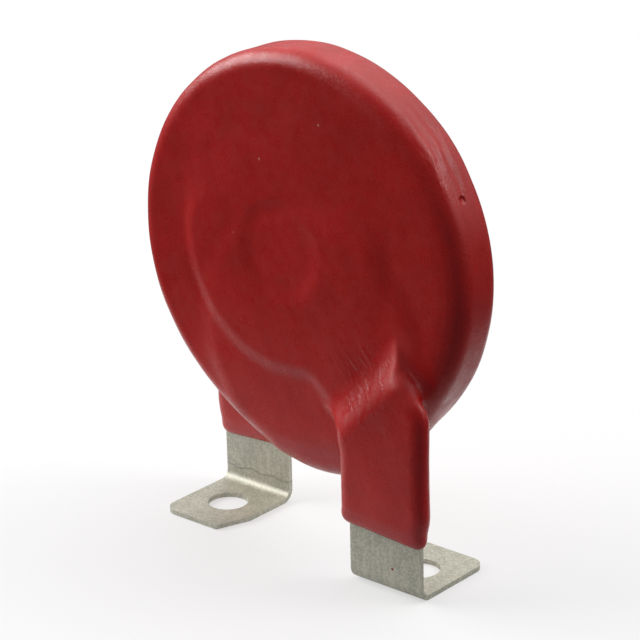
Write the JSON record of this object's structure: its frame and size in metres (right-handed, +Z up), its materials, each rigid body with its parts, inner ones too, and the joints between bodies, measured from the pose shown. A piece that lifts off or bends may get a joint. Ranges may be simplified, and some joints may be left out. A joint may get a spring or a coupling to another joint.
{
  "type": "disc varistor",
  "caption": "Round epoxy-coated disc varistor that stands on two flat strap terminals with screw feet; it limits surge voltage in power circuits.",
  "frame": {"origin": "on the ground under the middle of the disc, halfway between the two screw holes, level with the underside of the feet", "axes": "+Z up from the feet through the disc; X across the disc along the line of the two screw holes; -Y is the front, where the front terminal's plate is, and its leg is on the +X side; the rear half is the front half turned half a turn about Z"},
  "size_m": [0.0406, 0.012, 0.0511],
  "materials": {
    "red_epoxy": "semi-gloss dipped epoxy with a fine grain",
    "zinc_oxide": "dark grey sintered zinc oxide, unglazed",
    "fired_silver": "matt fired silver",
    "solder": "satin solder",
    "tinned_sheet": "dull tin on thin metal sheet"
  },
  "bodies": {
    "root": {"epoxy_coating": "red_epoxy", "ceramic_disc": "zinc_oxide", "front_electrode": "fired_silver", "rear_electrode": "fired_silver", "front_solder": "solder", "rear_solder": "solder", "front_terminal": "tinned_sheet", "rear_terminal": "tinned_sheet"}
  },
  "joints": []
}
